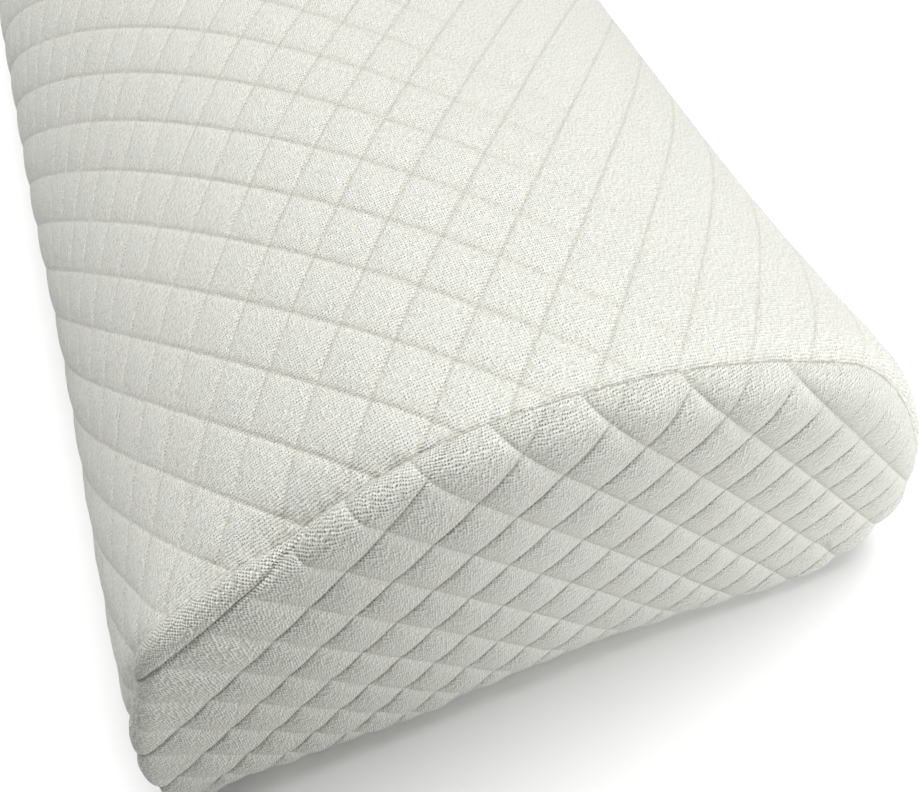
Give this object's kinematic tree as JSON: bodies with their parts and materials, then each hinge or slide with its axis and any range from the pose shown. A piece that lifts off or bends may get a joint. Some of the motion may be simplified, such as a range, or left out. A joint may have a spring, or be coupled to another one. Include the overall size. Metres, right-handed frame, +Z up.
{
  "type": "half moon bolster pillow",
  "caption": "Long cushion with a D-shaped section and a flat base, in a quilted knit wrap with a D-shaped quilted panel sewn in at each end; supports the neck, back, knees or ankles.",
  "frame": {"origin": "middle of the bounding box in X and Y, on the plane the flat base rests on", "axes": "+Z up from the flat base to the arch, Y along the pillow with the pictured end towards -Y, +X to the right seen from that end"},
  "size_m": [0.2046, 0.519, 0.123],
  "materials": {
    "quilted_wrap": "ivory quilted knit, matt",
    "quilted_panel": "ivory quilted knit, matt"
  },
  "bodies": {
    "root": {"filled_body": "quilted_wrap", "end_panel_near": "quilted_panel", "end_panel_far": "quilted_panel"}
  },
  "joints": []
}
